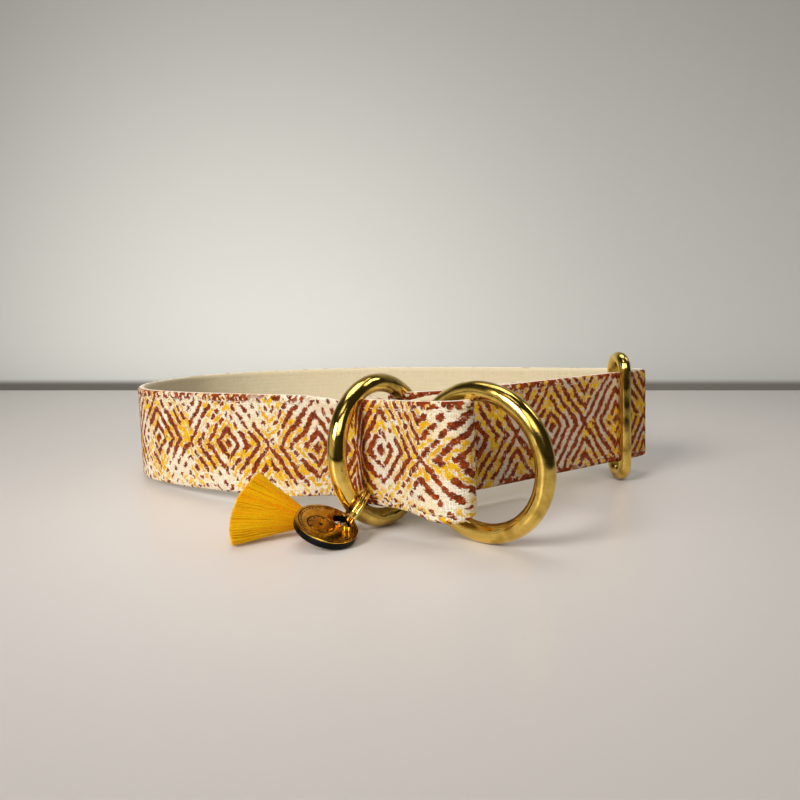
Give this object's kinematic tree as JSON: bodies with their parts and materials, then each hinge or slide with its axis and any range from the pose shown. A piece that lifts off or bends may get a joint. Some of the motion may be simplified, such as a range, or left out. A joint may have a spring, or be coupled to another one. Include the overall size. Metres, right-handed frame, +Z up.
{
  "type": "martingale collar",
  "caption": "Limited-slip martingale dog collar: printed cotton strap with brass rings, brass slider, round tag and yellow tassel.",
  "frame": {"origin": "on the ground under the middle of the object's box", "axes": "+Z up, -Y towards the side where the two rings hang, +X towards the slider end of the strap loop"},
  "size_m": [0.1744, 0.1474, 0.0424],
  "materials": {
    "printed_cotton": "woven cotton with a rust and yellow block print",
    "webbing": "heavy cream webbing",
    "lining_cotton": "smooth cream cotton",
    "thread": "cream sewing thread",
    "ring_brass": "polished, lightly tarnished",
    "slider_brass": "polished, lightly tarnished",
    "split_ring_brass": "polished",
    "tag_black": "gloss black acrylic",
    "tag_gold": "gold mirror acrylic",
    "tassel_yarn": "golden yellow viscose thread"
  },
  "bodies": {
    "neck_strap": {"neck_cover": "printed_cotton", "neck_webbing": "webbing", "neck_lining": "lining_cotton", "ring_end_loop": "printed_cotton", "ring_end_tab": "printed_cotton", "ring_end_seam": "thread", "neck_stitch_upper": "thread", "neck_stitch_lower": "thread"},
    "neck_ring": {"neck_ring": "ring_brass"},
    "leash_end": {"slip_length": "printed_cotton", "leash_cover": "printed_cotton", "leash_webbing": "webbing", "leash_lining": "lining_cotton", "leash_return_end": "printed_cotton", "leash_stitch_upper": "thread", "leash_stitch_lower": "thread", "leash_seam": "thread"},
    "leash_ring": {"leash_ring": "ring_brass"},
    "slider": {"slider": "slider_brass"},
    "split_ring": {"split_ring": "split_ring_brass"},
    "tag": {"tag_disc": "tag_black", "tag_face": "tag_gold"},
    "tassel": {"tassel_cord": "tassel_yarn", "tassel_head": "tassel_yarn", "tassel_binding": "tassel_yarn", "tassel_skirt": "tassel_yarn"}
  },
  "joints": [
    {"name": "neck_ring_turn", "type": "hinge", "parent": "neck_strap", "child": "neck_ring", "pos_m": [0.00887, -0.0284, 0.0203], "axis": [-0.034, 0.029, 0.999], "range_deg": [-8, 3]},
    {"name": "leash_end_slip", "type": "slide", "parent": "neck_strap", "child": "leash_end", "axis": [0.4797, -0.8764, 0.0417], "range_m": [0, 0.02]},
    {"name": "leash_ring_swing", "type": "hinge", "parent": "leash_end", "child": "leash_ring", "pos_m": [0.00917, -0.04844, 0.02038], "axis": [-0.034, 0.029, 0.999], "range_deg": [-28, 2]},
    {"name": "slider_slide", "type": "slide", "parent": "neck_strap", "child": "slider", "axis": [0.8029, 0.596, 0.01], "range_m": [-0.035, 0.004]},
    {"name": "split_ring_swing", "type": "hinge", "parent": "neck_ring", "child": "split_ring", "pos_m": [-0.00776, -0.05284, 0.00677], "axis": [0.5118, 0.5664, -0.6459], "range_deg": [0, 10]},
    {"name": "tag_swing", "type": "hinge", "parent": "split_ring", "child": "tag", "pos_m": [-0.01126, -0.05614, 0.00327], "axis": [-0.2941, 0.8165, -0.4968], "range_deg": [0, 8]},
    {"name": "tassel_swing", "type": "hinge", "parent": "split_ring", "child": "tassel", "pos_m": [-0.01144, -0.05088, 0.00258], "axis": [0, 0, 1], "range_deg": [-15, 0]}
  ]
}
